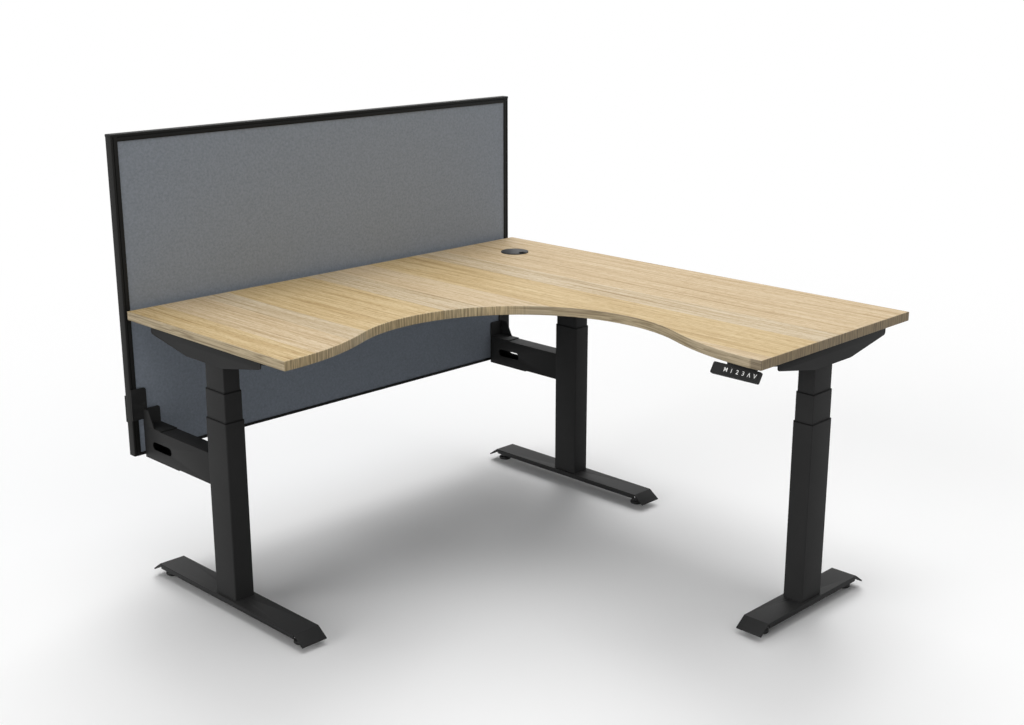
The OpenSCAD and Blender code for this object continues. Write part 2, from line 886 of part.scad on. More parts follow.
// The top rail lies over both posts and holds the panel's top edge between them
module top_rail() {
    rail_low = screen_top - frame_face;
    color(black_alu) placed() screen_place() difference() {
        union() {
            translate([0, 0, screen_top - cap_t]) rotate([90, 0, 90]) linear_extrude(desk_w)
                polygon(concat([[0, 0]],
                    arc([post_edge, cap_t - post_edge], post_edge, 180, 90, corner_steps),
                    arc([screen_t - post_edge, cap_t - post_edge], post_edge, 90, 0, corner_steps),
                    [[screen_t, 0]]));
            translate([frame_face, 0, rail_low])
                cube([desk_w - 2 * frame_face, screen_t, frame_face - cap_t / 2]);
        }
        translate([frame_face - over, lip_t, rail_low - over])
            cube([desk_w - 2 * frame_face + 2 * over, screen_t - 2 * lip_t, panel_bite + over]);
        for (y = [-over, screen_t - groove_depth])
            translate([frame_face - over, y, screen_top - cap_t - groove_w])
                cube([desk_w - 2 * frame_face + 2 * over, groove_depth + over, groove_w]);
    }
}

module bottom_rail() {
    color(black_alu) placed() screen_place() difference() {
        translate([frame_face, 0, screen_low]) cube([desk_w - 2 * frame_face, screen_t, sill_face]);
        translate([frame_face - over, lip_t, screen_low + sill_face - sill_bite])
            cube([desk_w - 2 * frame_face + 2 * over, screen_t - 2 * lip_t, sill_bite + over]);
    }
}

// Panel: a core board between two fabric-covered tiles
module panel_layer(y, t) {
    difference() {
        translate([panel_in, y, panel_low])
            cube([desk_w - 2 * panel_in, t, panel_high - panel_low]);
        screen_bolt_holes();
        other_end() screen_bolt_holes();
    }
}
module screen_core() {
    color("#8A8478") placed() screen_place() panel_layer((screen_t - core_t) / 2, core_t);
}
module fabric_tiles() {
    color(grey_fabric) placed() screen_place() {
        panel_layer((screen_t - core_t) / 2 - tile_t, tile_t);
        panel_layer((screen_t + core_t) / 2, tile_t);
    }
}

// Bolts through a bracket, the screen and a clamp plate, each along -Y from the
// rear, in the left end's frame
module screen_bolt_places() {
    for (x = [post_bolt_in, panel_bolt_in], up = [0, clamp_bolt_pitch])
        translate([x, screen_t + clamp_t, clamp_bolt_low + up]) rotate([90, 0, 0]) children();
}
module screen_bolt_holes() {
    screen_bolt_places() translate([0, 0, -over])
        cylinder(d = bolt_d + 2 * run_gap, h = clamp_t + screen_t + plate_t + 2 * over);
}

// Arms: box beams with an oblong slot through both sides
module arm(reach) {
    slot_low = arm_top - arm_h + arm_slot_low;
    difference() {
        translate([arm_in, -plate_t - reach, arm_top - arm_h]) cube([arm_w, reach, arm_h]);
        translate([arm_in + arm_wall, -plate_t - reach - over, arm_top - arm_h + arm_wall])
            cube([arm_w - 2 * arm_wall, reach + 2 * over, arm_h - 2 * arm_wall]);
        for (y = [arm_slot_h / 2, arm_slot_len - arm_slot_h / 2])
            translate([arm_in - over, -arm_slot_in - y, slot_low + arm_slot_h / 2]) rotate([0, 90, 0])
                cylinder(d = arm_slot_h, h = arm_w + 2 * over);
        translate([arm_in - over, arm_slot_h / 2 - arm_slot_in - arm_slot_len, slot_low])
            cube([arm_w + 2 * over, arm_slot_len - arm_slot_h, arm_slot_h]);
        arm_bolt_holes();
    }
}
module arm_bolt_places() {
    for (y = [arm_bolt_in, arm_bolt_in + arm_bolt_pitch])
        translate([arm_in + arm_w / 2, -plate_t - y, arm_top - arm_h - plate_t]) children();
}
module arm_bolt_holes() {
    arm_bolt_places() translate([0, 0, -over])
        cylinder(d = bolt_d + 2 * run_gap, h = arm_bolt_len + 2 * over);
}
module left_arm() {
    color(black_steel) placed() screen_place()
        arm(screen_gap - plate_t + left_leg_back - column_l / 2);
}
module corner_arm() {
    color(black_steel) placed() screen_place() other_end()
        arm(screen_gap - plate_t + corner_leg_back - column_l / 2);
}

// Bracket: a face plate against the screen with a tall tab over the post, a
// plate over and one under the arm, and a gusset
module bracket() {
    difference() {
        union() {
            rotate([90, 0, 0]) linear_extrude(plate_t) {
                polygon(concat([[0, tab_low], [tab_w, tab_low]],
                    arc([tab_w - flange_r, tab_top - flange_r], flange_r, 0, 90, corner_steps),
                    [[0, tab_top]]));
                polygon(concat([[arm_in, arm_top - arm_h - plate_t],
                    [arm_in + arm_w, arm_top - arm_h - plate_t]],
                    arc([arm_in + arm_w - flange_r, flange_top - flange_r], flange_r, 0, 90, corner_steps),
                    [[arm_in, flange_top]]));
            }
            translate([arm_in, -plate_t - base_len, arm_top]) cube([arm_w, base_len + plate_t, plate_t]);
            translate([arm_in, -plate_t - under_len, arm_top - arm_h - plate_t])
                cube([arm_w, under_len + plate_t, plate_t]);
            translate([arm_in, 0, arm_top + plate_t]) rotate([90, 0, -90])
                translate([0, 0, -plate_t]) linear_extrude(plate_t) gusset_outline();
        }
        screen_bolt_holes();
        arm_bolt_holes();
    }
}

// The gusset's outline: away from the screen along X, up along Y
module gusset_outline() {
    polygon(concat(
        [[0, gusset_h], [0, -plate_t / 2], [gusset_foot, -plate_t / 2]],
        arc([gusset_foot, gusset_r], gusset_r, 270, 198, corner_steps),
        arc([gusset_head - gusset_head_r, gusset_h - gusset_head_r], gusset_head_r, 20, 90, corner_steps)));
}
module left_bracket() {
    color(black_steel) placed() screen_place() bracket();
}
module corner_bracket() {
    color(black_steel) placed() screen_place() other_end() bracket();
}

module clamp_plate() {
    difference() {
        translate([0, screen_t, clamp_low]) cube([tab_w, clamp_t, clamp_high - clamp_low]);
        screen_bolt_holes();
    }
}
module clamp_plates() {
    color(black_steel) placed() screen_place() {
        clamp_plate();
        other_end() clamp_plate();
    }
}

module screen_bolts() {
    screen_bolt_places() fastener(bolt_d, clamp_t + screen_t + plate_t, bolt_head_d, bolt_head_h);
    arm_bolt_places() fastener(bolt_d, arm_bolt_len, bolt_head_d, bolt_head_h);
}
module foot_bolts() {
    foot_bolt_places() fastener(foot_bolt_d, foot_t + base_plate_t, foot_bolt_head_d, foot_bolt_head_h);
}
module base_bolts() {
    color(black_steel) placed() {
        base_legs() foot_bolts();
        screen_place() {
            screen_bolts();
            other_end() screen_bolts();
        }
    }
}
module right_foot_bolts() {
    color(black_steel) placed() right_leg_place() foot_bolts();
}

// Control box: a vented case with ears, its sockets in the end
module control_box() {
    color(black_plastic) placed() translate([-control_in_x, -control_in_y, board_low]) difference() {
        union() {
            translate([-control_len / 2, -control_w / 2, -control_h])
                cube([control_len, control_w, control_h]);
            translate([-control_len / 2 - control_ear, -control_w / 2, -control_ear_t])
                cube([control_len + 2 * control_ear, control_w, control_ear_t]);
        }
        for (i = [-1, 0, 1])
            translate([control_len / 2 - socket_deep, i * socket_pitch - socket_w / 2,
                       -control_h / 2 - socket_h / 2])
                cube([socket_deep + over, socket_w, socket_h]);
        translate([-control_len / 2 - over, -inlet_w / 2, -control_h / 2 - inlet_h / 2])
            cube([socket_deep + over, inlet_w, inlet_h]);
        for (sx = [-1, 1], sy = [-1, 1])
            translate([sx * (control_len + control_ear) / 2, sy * control_w / 4, -control_ear_t - over])
                cylinder(d = screw_d + 2 * run_gap, h = control_ear_t + 2 * over);
    }
}

// Handset: a flat bar that leans to the user, on a shorter foot under the board
handset_x = handset_front_in - right_depth;
handset_y = handset_end - desk_l;

// The face's own frame: X along the keys, Y up the face, Z out of it
module face_place() {
    translate([handset_x, handset_y, board_low - handset_brow])
        rotate([0, 0, -90]) rotate([90 - handset_tilt, 0, 0]) mirror([1, 0, 0])
        translate([0, -handset_face, 0]) children();
}
module key_place(i) {
    face_place() translate([key_first + i * key_pitch, handset_face / 2 + key_up_face, 0]) children();
}

module handset_body() {
    color(black_plastic) placed() difference() {
        union() {
            face_place() translate([handset_len / 2, handset_face / 2, -handset_t])
                linear_extrude(handset_t) polygon(rounded(handset_len, handset_face, handset_r));
            translate([handset_x, handset_y + handset_foot_at + handset_foot_len, board_low])
                rotate([90, 0, 0])
                linear_extrude(handset_foot_len) polygon([
                    [handset_foot_in, 0],
                    [handset_foot_in, -handset_brow - handset_t],
                    [handset_t, -handset_brow - handset_t],
                    [handset_depth / 2, -handset_foot_t],
                    [handset_depth, -handset_foot_t],
                    [handset_depth, 0]
                ]);
        }
        for (i = [0:key_count - 1]) key_place(i)
            translate([-key_w / 2 - free_gap, -key_h / 2 - free_gap,
                       key_proud - key_t - key_travel - key_floor_gap])
                cube([key_w + 2 * free_gap, key_h + 2 * free_gap, key_t + key_travel + over]);
        handset_screw_places() translate([0, 0, -over])
            cylinder(d = screw_d + 2 * run_gap, h = handset_foot_t + 2 * over);
    }
}

module key(i) {
    key_place(i) translate([0, 0, key_proud - key_t]) linear_extrude(key_t)
        polygon(rounded(key_w, key_h, key_r));
}
module key_down() {
    color(black_plastic) placed() key(0);
}
module key_up() {
    color(black_plastic) placed() key(1);
}
module key_three() {
    color(black_plastic) placed() key(2);
}
module key_two() {
    color(black_plastic) placed() key(3);
}
module key_one() {
    color(black_plastic) placed() key(4);
}
module key_memory() {
    color(black_plastic) placed() key(5);
}

worktop();
edge_band();
grommet_liner();
grommet_cap();
left_support();
corner_support();
right_support();
left_rails();
right_rails();
frame_bolts();
worktop_screws();
gearboxes();
lift_motors();
control_box();
handset_body();
key_memory();
key_one();
key_two();
key_three();
key_up();
key_down();
left_inner_tube();
corner_inner_tube();
right_inner_tube();
left_middle_tube();
corner_middle_tube();
right_middle_tube();
left_middle_collar();
corner_middle_collar();
right_middle_collar();
outer_collars();
right_outer_collar();
left_outer_tube();
corner_outer_tube();
right_outer_tube();
upper_spindles();
lower_spindles();
right_lower_spindle();
left_foot();
corner_foot();
right_foot();
left_front_glide();
left_rear_glide();
corner_front_glide();
corner_rear_glide();
right_front_glide();
right_rear_glide();
left_post();
right_post();
top_rail();
bottom_rail();
screen_core();
fabric_tiles();
left_arm();
corner_arm();
left_bracket();
corner_bracket();
clamp_plates();
base_bolts();
right_foot_bolts();
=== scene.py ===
import json
import math
import bpy
from mathutils import Matrix, Vector

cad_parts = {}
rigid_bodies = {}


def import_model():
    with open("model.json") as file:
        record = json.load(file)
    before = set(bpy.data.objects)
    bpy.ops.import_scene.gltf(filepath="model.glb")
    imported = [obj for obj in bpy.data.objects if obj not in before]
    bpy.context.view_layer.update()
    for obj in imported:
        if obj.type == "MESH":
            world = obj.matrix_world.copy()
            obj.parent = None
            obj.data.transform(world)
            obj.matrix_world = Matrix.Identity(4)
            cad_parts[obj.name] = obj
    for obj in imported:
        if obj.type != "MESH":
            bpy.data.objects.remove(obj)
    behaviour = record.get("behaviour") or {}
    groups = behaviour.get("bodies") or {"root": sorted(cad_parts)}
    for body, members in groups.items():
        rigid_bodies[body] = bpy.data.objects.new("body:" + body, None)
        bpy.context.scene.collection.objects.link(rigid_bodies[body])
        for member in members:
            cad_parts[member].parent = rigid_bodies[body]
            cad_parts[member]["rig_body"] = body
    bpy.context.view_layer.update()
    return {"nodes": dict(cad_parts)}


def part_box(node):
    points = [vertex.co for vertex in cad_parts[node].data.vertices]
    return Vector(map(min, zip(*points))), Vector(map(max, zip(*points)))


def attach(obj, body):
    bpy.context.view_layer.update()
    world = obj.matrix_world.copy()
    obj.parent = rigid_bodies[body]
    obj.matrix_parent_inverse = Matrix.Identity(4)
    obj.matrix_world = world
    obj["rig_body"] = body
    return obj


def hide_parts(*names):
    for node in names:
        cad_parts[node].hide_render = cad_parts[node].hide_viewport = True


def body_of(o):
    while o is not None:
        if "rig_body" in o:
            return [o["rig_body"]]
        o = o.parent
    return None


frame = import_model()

nodes = frame["nodes"]
bpy.ops.object.select_all(action="DESELECT")


# The view. A 50 mm lens at a standing person's eye height looks down into the open side of the L, over
# a plain white floor. Soft boxes overhead and behind the screen's corner lay the shadow towards the
# viewer, and two more fill from the front and the left.
MM_PER_M = 1000


def mm(*sizes):
    """Millimetres in the CAD's frame to metres, as a vector or a single number."""
    return sizes[0] / MM_PER_M if len(sizes) == 1 else Vector(sizes) / MM_PER_M


def linear(hex_colour):
    """An sRGB hex colour as the linear RGBA that Blender's sockets hold."""
    shares = [int(hex_colour[i:i + 2], 16) / 255 for i in (1, 3, 5)]
    return [s / 12.92 if s <= 0.04045 else ((s + 0.055) / 1.055) ** 2.4 for s in shares] + [1]


def add_node(tree, kind, settings=(), inputs=(), stops=()):
    """Adds a shader node with its settings, its inputs as values or links, and a ramp's colours.

    A MapRange numbers its inputs as value, from, to, new from and new to, and a Mix of colours has its
    share at 0 and its colours at 6 and 7.
    """
    node = tree.nodes.new("ShaderNode" + kind)
    for name, value in dict(settings).items():
        setattr(node, name, value)
    for name, value in dict(inputs).items():
        if isinstance(value, bpy.types.NodeSocket):
            tree.links.new(value, node.inputs[name])
        else:
            node.inputs[name].default_value = value
    if stops:
        ramp = node.color_ramp.elements
        while len(ramp) < len(stops):
            ramp.new(1.0)
        for element, (place, colour) in zip(ramp, stops):
            element.position = place
            element.color = linear(colour)
    return node


LENS_MM = 50.009
SENSOR_MM = 36
VIEW_REACH_M = 100
EYE_MM = (-2698.64, -2681.15, 1729.79)
HEADING_DEG = 45.244
DOWN_DEG = 15.996
ROLL_DEG = -0.045

camera_data = bpy.data.cameras.new("photo_lens")
camera_data.lens = LENS_MM
camera_data.sensor_width = SENSOR_MM
camera_data.clip_end = VIEW_REACH_M
camera = bpy.data.objects.new("photo_camera", camera_data)
bpy.context.scene.collection.objects.link(camera)
camera.matrix_world = (Matrix.Translation(mm(*EYE_MM))
                       @ Matrix.Rotation(math.radians(-HEADING_DEG), 4, "Z")
                       @ Matrix.Rotation(math.radians(90 - DOWN_DEG), 4, "X")
                       @ Matrix.Rotation(math.radians(ROLL_DEG), 4, "Z"))
bpy.context.scene.camera = camera
bpy.context.scene.view_settings.view_transform = "Standard"


def shown(tree):
    """1 for what the camera sees, also in a reflection or through glass, and 0 for light on its way."""
    path = add_node(tree, "LightPath")
    seen = add_node(tree, "Math", {"operation": "MAXIMUM"},
                    {0: path.outputs["Is Camera Ray"], 1: path.outputs["Is Glossy Ray"]})
    return add_node(tree, "Math", {"operation": "MAXIMUM"},
                    {0: seen.outputs[0], 1: path.outputs["Is Transmission Ray"]}).outputs[0]


AMBIENT = 0.23
world = bpy.data.worlds.new("white_studio")
bpy.context.scene.world = world
world.use_nodes = True
tree = world.node_tree
tree.nodes.clear()
ambient = add_node(tree, "Background", inputs={"Color": linear("#FFFFFF"), "Strength": AMBIENT})
backdrop = add_node(tree, "Background", inputs={"Color": linear("#FFFFFF"), "Strength": 1.0})
both = add_node(tree, "MixShader",
                inputs={0: shown(tree), 1: ambient.outputs[0], 2: backdrop.outputs[0]})
add_node(tree, "OutputWorld", inputs={"Surface": both.outputs[0]})

# The floor turns into pure white light from 1.8 to 5 m off, so that it has no horizon. It throws light
# back as a light grey floor does, which keeps the parts under the top as dark as they are shown
FADE_FROM_M = 1.8
FADE_TO_M = 5.0
FLOOR_M = 60
bpy.ops.mesh.primitive_plane_add(size=FLOOR_M)
floor = bpy.context.object
floor.name = "studio_floor"
paint = bpy.data.materials.new("white_floor_paint")
paint.use_nodes = True
tree = paint.node_tree
tree.nodes.clear()
matt = add_node(tree, "BsdfDiffuse", inputs={"Color": linear("#F7F7F7")})
glow = add_node(tree, "Emission", inputs={"Color": linear("#FFFFFF"), "Strength": 1.0})
place = add_node(tree, "TexCoord")
reach = add_node(tree, "VectorMath", {"operation": "LENGTH"}, {0: place.outputs["Object"]})
far = add_node(tree, "MapRange", {"interpolation_type": "SMOOTHSTEP"},
               {0: reach.outputs["Value"], 1: FADE_FROM_M, 2: FADE_TO_M, 3: 0.0, 4: 1.0})
blend = add_node(tree, "MixShader", inputs={0: far.outputs[0], 1: matt.outputs[0], 2: glow.outputs[0]})
thrown = add_node(tree, "BsdfDiffuse", inputs={"Color": linear("#A8A8A8")})
both = add_node(tree, "MixShader", inputs={0: shown(tree), 1: thrown.outputs[0], 2: blend.outputs[0]})
add_node(tree, "OutputMaterial", inputs={"Surface": both.outputs[0]})
floor.data.materials.append(paint)

SOFT_BOXES = [
    # name, direction to it, width in degrees as the object sees it, strength
    ("soft_box_overhead", (0.07, 0.07, 1.0), 44, 1.14),
    ("soft_box_behind", (0.64, 0.64, 1.0), 34, 1.13),
    ("soft_box_front", (-0.2, -0.85, 1.0), 50, 0.4),
    ("soft_box_left", (-1.0, 0.12, 0.2), 50, 1.65),
]
for name, towards, width, strength in SOFT_BOXES:
    lamp_data = bpy.data.lights.new(name, "SUN")
    lamp_data.angle = math.radians(width)
    lamp_data.energy = strength
    lamp = bpy.data.objects.new(name, lamp_data)
    bpy.context.scene.collection.objects.link(lamp)
    lamp.rotation_euler = Vector(towards).to_track_quat("Z", "Y").to_euler()


# Worktop. A particle board faced with melamine paper that prints sawn oak staves: they run from the
# screen towards the sitter, each a hand or two wide with a crisp side, in yellow, pale and greyish
# oak. The press finish is satin and follows the pores a little.
def start_finish(name, settings=()):
    """A new material with its shader, named for the finish, with what is the same all over it."""
    material = bpy.data.materials.new(name)
    material.use_nodes = True
    tree = material.node_tree
    tree.nodes.clear()
    shader = add_node(tree, "BsdfPrincipled", inputs=settings)
    add_node(tree, "OutputMaterial", inputs={"Surface": shader.outputs[0]})
    return material, tree, shader


def dress(names, material):
    """Gives CAD nodes that stay as they are their finish."""
    for name in names:
        mesh = nodes[name].data
        mesh.materials.clear()
        mesh.materials.append(material)


def edit(piece, choose_faces=None):
    """Opens a piece in edit mode with all of it selected, or only the faces that are chosen."""
    bpy.ops.object.select_all(action="DESELECT")
    bpy.context.view_layer.objects.active = piece
    piece.select_set(True)
    bpy.ops.object.mode_set(mode="EDIT")
    bpy.ops.mesh.select_mode(type="FACE" if choose_faces else "VERT")
    bpy.ops.mesh.select_all(action="DESELECT" if choose_faces else "SELECT")
    if choose_faces:
        bpy.ops.object.mode_set(mode="OBJECT")
        for face in piece.data.polygons:
            face.select = choose_faces(face)
        bpy.ops.object.mode_set(mode="EDIT")


WELD_MM = 0.01
FLAT_DEG = 0.3
FOLD_DEG = 32


def merged_copy(node, name):
    """A copy of a CAD node as one closed mesh with flat faces whole again."""
    piece = bpy.data.objects.new(name, nodes[node].data.copy())
    bpy.context.scene.collection.objects.link(piece)
    edit(piece)
    bpy.ops.mesh.customdata_custom_splitnormals_clear()
    bpy.ops.mesh.remove_doubles(threshold=mm(WELD_MM))
    bpy.ops.mesh.dissolve_limited(angle_limit=math.radians(FLAT_DEG))
    bpy.ops.object.mode_set(mode="OBJECT")
    return piece


def finish_piece(piece, material, body=None, node=None, smooth=FOLD_DEG):
    """Gives a piece its finish, soft shading, the body it rides on and the node it stands for."""
    piece.data.materials.clear()
    piece.data.materials.append(material)
    bpy.ops.object.select_all(action="DESELECT")
    bpy.context.view_layer.objects.active = piece
    piece.select_set(True)
    bpy.ops.object.shade_smooth_by_angle(angle=math.radians(smooth))
    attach(piece, body or body_of(nodes[node])[0])
    if node:
        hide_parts(node)
    return piece


def eased(node, radius_mm, material, steps=2):
    """Stands for a CAD node, with the sharp edges broken as paint, moulding or a fold leaves them."""
    piece = merged_copy(node, node + "_eased")
    if radius_mm:
        bevel = piece.modifiers.new("ease", "BEVEL")
        bevel.width = mm(radius_mm)
        bevel.segments = steps
        bevel.limit_method = "ANGLE"
        bevel.angle_limit = math.radians(FOLD_DEG)
        bpy.ops.object.modifier_apply(modifier=bevel.name)
    return finish_piece(piece, material, node=node)


GAMMA = 2.2
YELLOW, PALE, PEACH, GREY = "#DCC8A0", "#DFCEB2", "#DECCAE", "#DCCFB8"
WORKTOP_MM = 1500
STAVES = [
    # where each stave starts, in mm from the left end, its colour, and how strongly it is grained
    (0, YELLOW, 0.85), (96, PALE, 0.75), (240, GREY, 0.75), (320, YELLOW, 0.8), (610, GREY, 0.9),
    (720, PALE, 0.7), (850, YELLOW, 0.8), (1050, GREY, 0.9), (1160, PEACH, 0.8)]


def grey_of(share):
    """The grey that stands for a share from 0 to 1, so that a ramp can hold it among its colours."""
    return "#" + "%02X" % round(255 * share ** (1 / GAMMA)) * 3


def stave_tone(tree, place):
    """The stave's colour and the strength of its grain, both by the place along the back edge."""
    split = add_node(tree, "SeparateXYZ", inputs={0: place})
    along = add_node(tree, "MapRange", inputs={
        0: split.outputs["X"], 1: -mm(WORKTOP_MM) / 2, 2: mm(WORKTOP_MM) / 2, 3: 0.0, 4: 1.0})
    tones = [(start / WORKTOP_MM, colour) for start, colour, grained in STAVES]
    strengths = [(start / WORKTOP_MM, grey_of(grained)) for start, colour, grained in STAVES]
    tone = add_node(tree, "ValToRGB", inputs={"Fac": along.outputs[0]}, stops=tones)
    strength = add_node(tree, "ValToRGB", inputs={"Fac": along.outputs[0]}, stops=strengths)
    tone.color_ramp.interpolation = strength.color_ramp.interpolation = "CONSTANT"
    return tone.outputs["Color"], strength.outputs["Color"]


oak_face, tree, shader = start_finish("oak_print_melamine", {"Roughness": 0.55, "IOR": 1.5,
                                                             "Specular IOR Level": 0.12})
place = add_node(tree, "TexCoord").outputs["Object"]
tone, strength = stave_tone(tree, place)
# Growth lines 14 and 5 mm apart and 300 to 700 mm long, pale lines of early wood 7 mm apart, flecks
# 3 mm wide, and pores under 2 mm wide: the real ones are finer, but no finer ones would show
GRAIN = [
    # mm across, along and into the stave, detail, wander, what it multiplies the tone by
    ((14.3, 714, 33), 3.0, 0.5,
     [(0.30, "#DACEBA"), (0.44, "#F4EFE6"), (0.58, "#FFFFFF"), (0.74, "#F6F1E8")]),
    ((6.7, 625, 33), 2.0, 0.3, [(0.49, "#F4F0E9"), (0.555, "#FFFFFF"), (0.62, "#F4F0E9")]),
    ((5, 333, 17), 2.0, 0.3, [(0.30, "#D3C6B0"), (0.46, "#F8F4EC"), (0.62, "#FFFFFF")]),
    ((3, 17, 17), 1.0, 0.0, [(0.32, "#E8E0D2"), (0.48, "#FFFFFF")]),
    ((1.6, 45, 11), 1.0, 0.0, [(0.30, "#E4DAC8"), (0.46, "#FFFFFF")]),
]
colour = tone
for cell, detail, wander, stops in GRAIN:
    stretch = [1 / mm(size) for size in cell]
    drawn = add_node(tree, "Mapping", inputs={"Vector": place, "Scale": stretch})
    noise = add_node(tree, "TexNoise", inputs={
        "Vector": drawn.outputs[0], "Scale": 1.0, "Detail": detail,
        "Roughness": 0.55, "Distortion": wander})
    ramp = add_node(tree, "ValToRGB", inputs={"Fac": noise.outputs["Fac"]}, stops=stops)
    mixed = add_node(tree, "Mix", {"data_type": "RGBA", "blend_type": "MULTIPLY"},
                     {0: strength, 6: colour, 7: ramp.outputs["Color"]})
    colour = mixed.outputs[2]
tree.links.new(colour, shader.inputs["Base Color"])
# The last layer is the pores, which the press plate dents as well
pores = noise.outputs["Fac"]
press = add_node(tree, "Bump", inputs={"Strength": 0.15, "Distance": mm(0.3), "Height": pores})
tree.links.new(press.outputs[0], shader.inputs["Normal"])
board = finish_piece(merged_copy("worktop", "worktop_board"), oak_face, node="worktop")


def mottled(name, settings, spot_mm, detail, stops, roughness=None, relief=None):
    """A finish whose tone wanders over spots of one size, and with it its gloss and its height."""
    material, tree, shader = start_finish(name, settings)
    place = add_node(tree, "TexCoord").outputs["Object"]
    spots = add_node(tree, "TexNoise", inputs={
        "Vector": place, "Scale": 1 / mm(spot_mm), "Detail": detail})
    shade = add_node(tree, "ValToRGB", inputs={"Fac": spots.outputs["Fac"]}, stops=stops)
    tree.links.new(shade.outputs["Color"], shader.inputs["Base Color"])
    if roughness:
        rough = add_node(tree, "MapRange", inputs={
            0: spots.outputs["Fac"], 3: roughness[0], 4: roughness[1]})
        tree.links.new(rough.outputs[0], shader.inputs["Roughness"])
    if relief:
        strength, depth_mm = relief
        dents = add_node(tree, "Bump", inputs={
            "Strength": strength, "Distance": mm(depth_mm), "Height": spots.outputs["Fac"]})
        tree.links.new(dents.outputs[0], shader.inputs["Normal"])
    return material


# The underside carries a plain grey balancing paper, with a faint mottle from the press. A face is
# level where the upright part of its normal is over this share
UPRIGHT = 0.5
backing = mottled("grey_balancing_paper", {"Roughness": 0.6, "IOR": 1.5}, 70, 3.0,
                  [(0.35, "#757675"), (0.65, "#7F807F")])
board.data.materials.append(backing)
for face in board.data.polygons:
    face.material_index = 1 if face.normal.z < -UPRIGHT else 0

# Edge band. A 2 mm strip of printed plastic, glued round the board, trimmed flush and rounded by a
# scraper. Its grain runs along the side of the desk in greyish streaks, and up and down the front in
# brown ones. The front end of the right wing is darkened further, as painted shade.
oak_edge, tree, shader = start_finish("oak_print_edge_band", {"Roughness": 0.5, "IOR": 1.5,
                                                              "Specular IOR Level": 0.3})
place = add_node(tree, "TexCoord").outputs["Object"]
tone, strength = stave_tone(tree, place)
STREAKS = [
    # mm across, along and up the band, or None where a streak runs on; wander; its colours
    ((None, 200, 5.9), 1.2,
     [(0.26, "#80745D"), (0.40, "#9B8F78"), (0.50, "#B8AD96"), (0.60, "#D0C5AE"), (0.74, "#B1A58D")]),
    ((4.76, None, 111), 0.3,
     [(0.26, "#897A5D"), (0.40, "#A5977B"), (0.50, "#C8B899"), (0.60, "#E4D5B0"), (0.74, "#BAAB8E")]),
]
RIGHT_FRONT_MM = 755
DARKEN_MM = 8
TURN_BLEND = 0.2
STAVE_TINT = 0.5
streaks = []
for cell, wander, stops in STREAKS:
    stretch = [1 / mm(size) if size else 0 for size in cell]
    drawn = add_node(tree, "Mapping", inputs={"Vector": place, "Scale": stretch})
    noise = add_node(tree, "TexNoise", inputs={"Vector": drawn.outputs[0], "Scale": 1.0, "Detail": 3.0,
                                               "Roughness": 0.6, "Distortion": wander})
    streaks.append(add_node(tree, "ValToRGB", inputs={"Fac": noise.outputs["Fac"]}, stops=stops))
facing = add_node(tree, "SeparateXYZ", inputs={0: add_node(tree, "TexCoord").outputs["Normal"]})
sideways = add_node(tree, "Math", {"operation": "ABSOLUTE"}, {0: facing.outputs["X"]})
forwards = add_node(tree, "Math", {"operation": "ABSOLUTE"}, {0: facing.outputs["Y"]})
front = add_node(tree, "Math", {"operation": "SUBTRACT"},
                 {0: forwards.outputs[0], 1: sideways.outputs[0]})
turned = add_node(tree, "MapRange", {"interpolation_type": "SMOOTHSTEP"},
                  {0: front.outputs[0], 1: -TURN_BLEND, 2: TURN_BLEND, 3: 0.0, 4: 1.0})
laid = add_node(tree, "Mix", {"data_type": "RGBA"}, {
    0: turned.outputs[0], 6: streaks[0].outputs["Color"], 7: streaks[1].outputs["Color"]})
tinted = add_node(tree, "Mix", {"data_type": "RGBA", "blend_type": "MULTIPLY"},
                  {0: STAVE_TINT, 6: laid.outputs[2], 7: tone})
split = add_node(tree, "SeparateXYZ", inputs={0: place})
# Painted shade: past RIGHT_FRONT_MM the band's colour is multiplied darker, blended in over DARKEN_MM
right_front = add_node(tree, "MapRange", inputs={
    0: split.outputs["Y"], 1: -mm(RIGHT_FRONT_MM), 2: -mm(RIGHT_FRONT_MM + DARKEN_MM), 3: 0.0, 4: 1.0})
painted_shade_front = add_node(tree, "Mix", {"data_type": "RGBA", "blend_type": "MULTIPLY"},
                    {0: right_front.outputs[0], 6: tinted.outputs[2], 7: linear("#C6C4C4")})
tree.links.new(painted_shade_front.outputs[2], shader.inputs["Base Color"])

BAND_ROUND_MM = 1.2
BAND_ON_BOARD_MM = 1
BAND_ROUND_STEPS = 3
band = merged_copy("edge_band", "edge_band_scraped")
bpy.context.view_layer.update()


def on_band_outside(face):
    """Whether a face of the band is on its outer wall, off the board's own edge."""
    hit, near, normal, index = board.closest_point_on_mesh(face.center)
    return abs(face.normal.z) < UPRIGHT and (near - face.center).length > mm(BAND_ON_BOARD_MM)


edit(band, on_band_outside)
bpy.ops.mesh.region_to_loop()
bpy.ops.mesh.bevel(offset=mm(BAND_ROUND_MM), segments=BAND_ROUND_STEPS, affect="EDGES")
bpy.ops.object.mode_set(mode="OBJECT")
finish_piece(band, oak_edge, node="edge_band")


